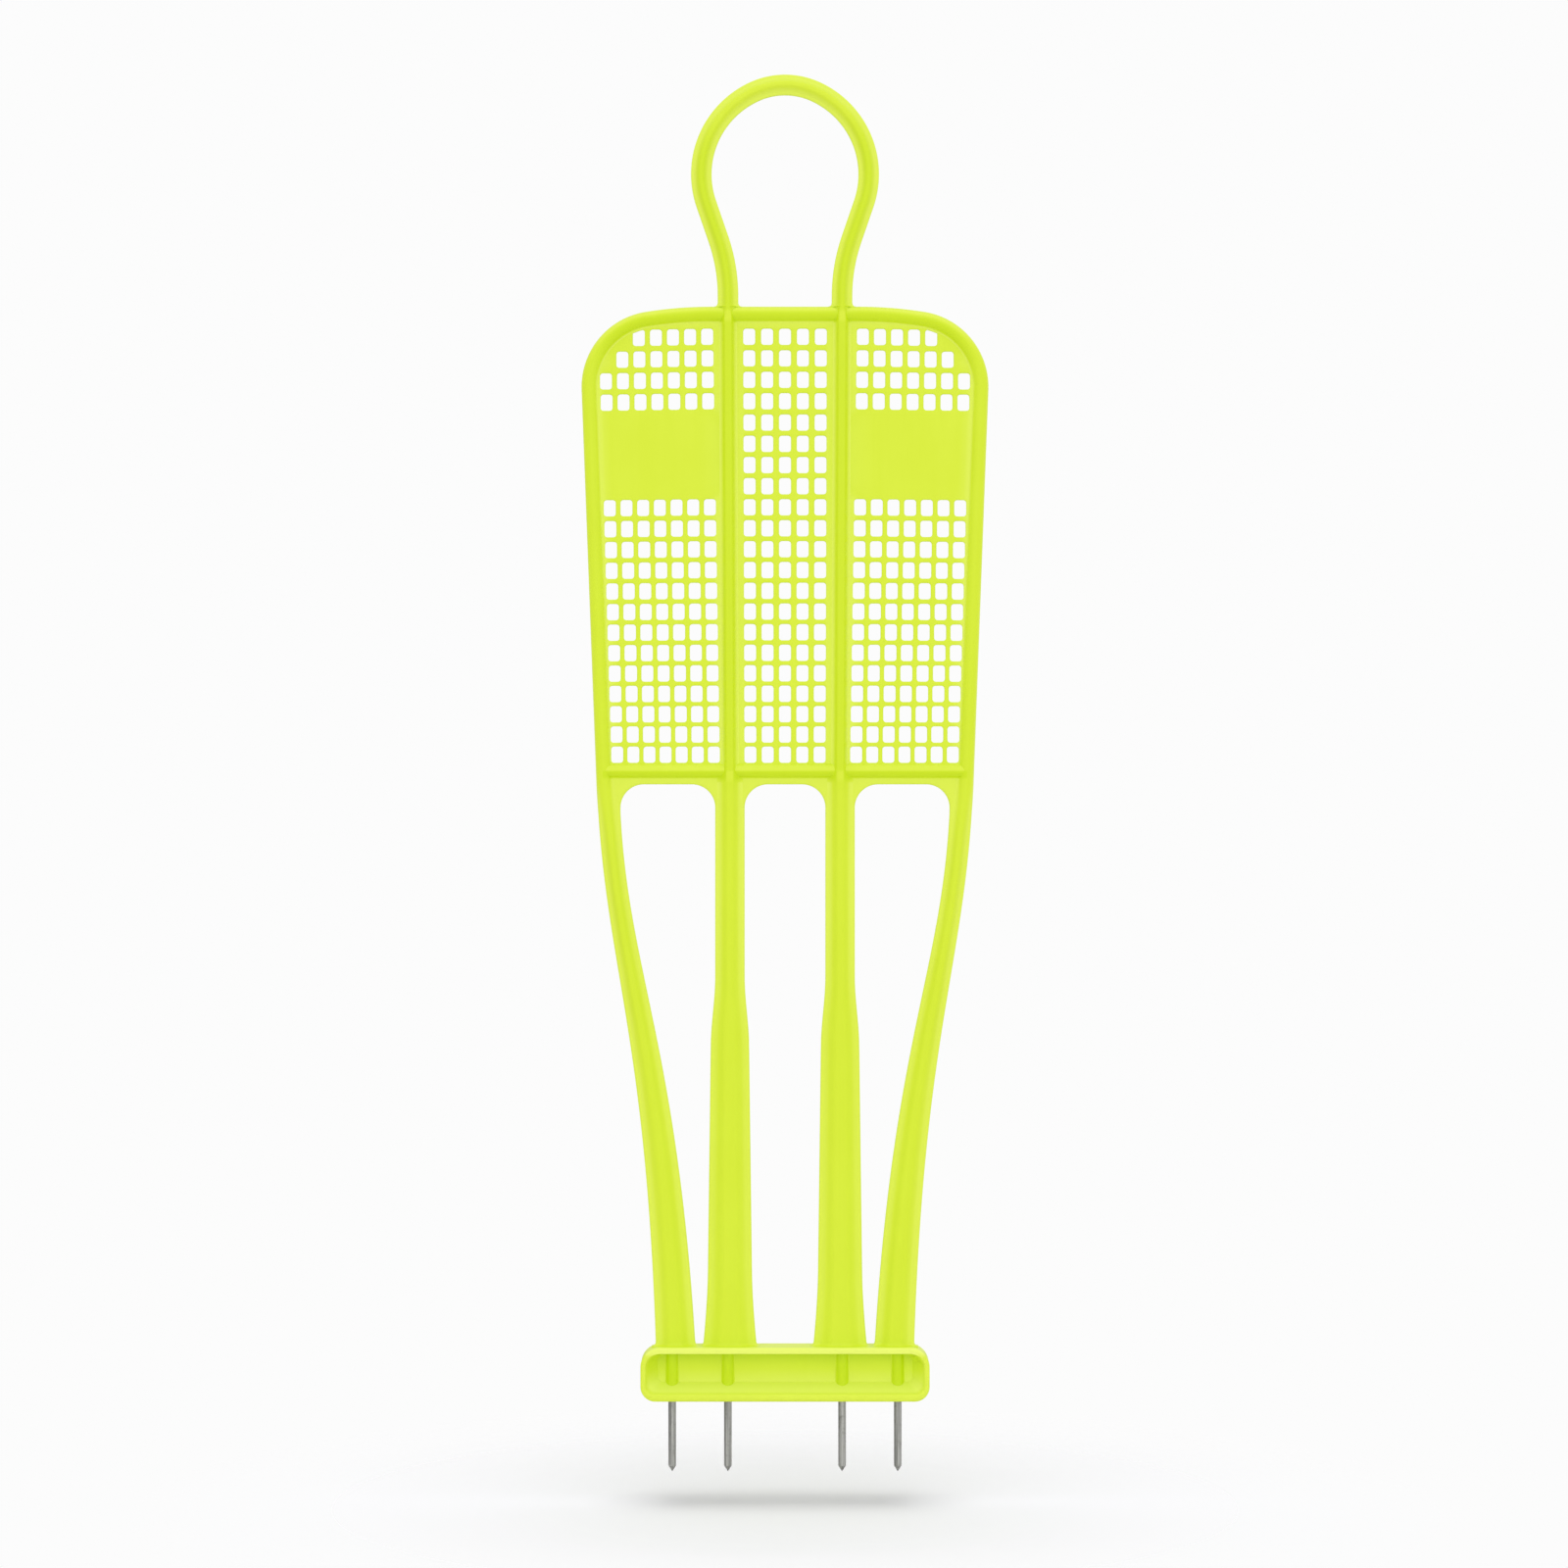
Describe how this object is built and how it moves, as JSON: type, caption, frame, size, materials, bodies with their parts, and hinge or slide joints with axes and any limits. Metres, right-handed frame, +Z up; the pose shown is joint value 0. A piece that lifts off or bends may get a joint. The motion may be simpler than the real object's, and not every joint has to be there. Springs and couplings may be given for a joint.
{
  "type": "free kick mannequin",
  "caption": "Player-sized free kick mannequin: hoop head, perforated lattice torso, ribbed legs and an open tray base on screw-in steel ground spikes.",
  "frame": {"origin": "middle of the flat underside of the base, on the ground line", "axes": "+X across the mannequin to its right as seen from the front, -Y to the front, +Z up"},
  "size_m": [0.5248, 0.05, 1.8],
  "materials": {
    "moulded_plastic": "satin, slightly translucent fluorescent yellow moulding",
    "spike_steel": "drawn bar with a ground point",
    "socket_brass": "turned"
  },
  "bodies": {
    "mannequin": {"head_hoop": "moulded_plastic", "left_shoulder_rail": "moulded_plastic", "collar_rail": "moulded_plastic", "right_shoulder_rail": "moulded_plastic", "left_side_rail": "moulded_plastic", "right_side_rail": "moulded_plastic", "left_waist_rail": "moulded_plastic", "middle_waist_rail": "moulded_plastic", "right_waist_rail": "moulded_plastic", "left_spine": "moulded_plastic", "right_spine": "moulded_plastic", "left_lattice": "moulded_plastic", "middle_lattice": "moulded_plastic", "right_lattice": "moulded_plastic", "left_hip_arch": "moulded_plastic", "middle_hip_arch": "moulded_plastic", "right_hip_arch": "moulded_plastic", "left_outer_leg": "moulded_plastic", "left_inner_leg": "moulded_plastic", "right_inner_leg": "moulded_plastic", "right_outer_leg": "moulded_plastic", "base_tray": "moulded_plastic", "left_outer_socket": "socket_brass", "left_inner_socket": "socket_brass", "right_inner_socket": "socket_brass", "right_outer_socket": "socket_brass"},
    "left_outer_spike": {"left_outer_spike": "spike_steel"},
    "left_inner_spike": {"left_inner_spike": "spike_steel"},
    "right_inner_spike": {"right_inner_spike": "spike_steel"},
    "right_outer_spike": {"right_outer_spike": "spike_steel"}
  },
  "joints": [
    {"name": "left_outer_spike_unscrew", "type": "slide", "parent": "mannequin", "child": "left_outer_spike", "axis": [0, 0, -1], "range_m": [0, 0.04]},
    {"name": "left_inner_spike_unscrew", "type": "slide", "parent": "mannequin", "child": "left_inner_spike", "axis": [0, 0, -1], "range_m": [0, 0.04]},
    {"name": "right_inner_spike_unscrew", "type": "slide", "parent": "mannequin", "child": "right_inner_spike", "axis": [0, 0, -1], "range_m": [0, 0.04]},
    {"name": "right_outer_spike_unscrew", "type": "slide", "parent": "mannequin", "child": "right_outer_spike", "axis": [0, 0, -1], "range_m": [0, 0.04]}
  ]
}
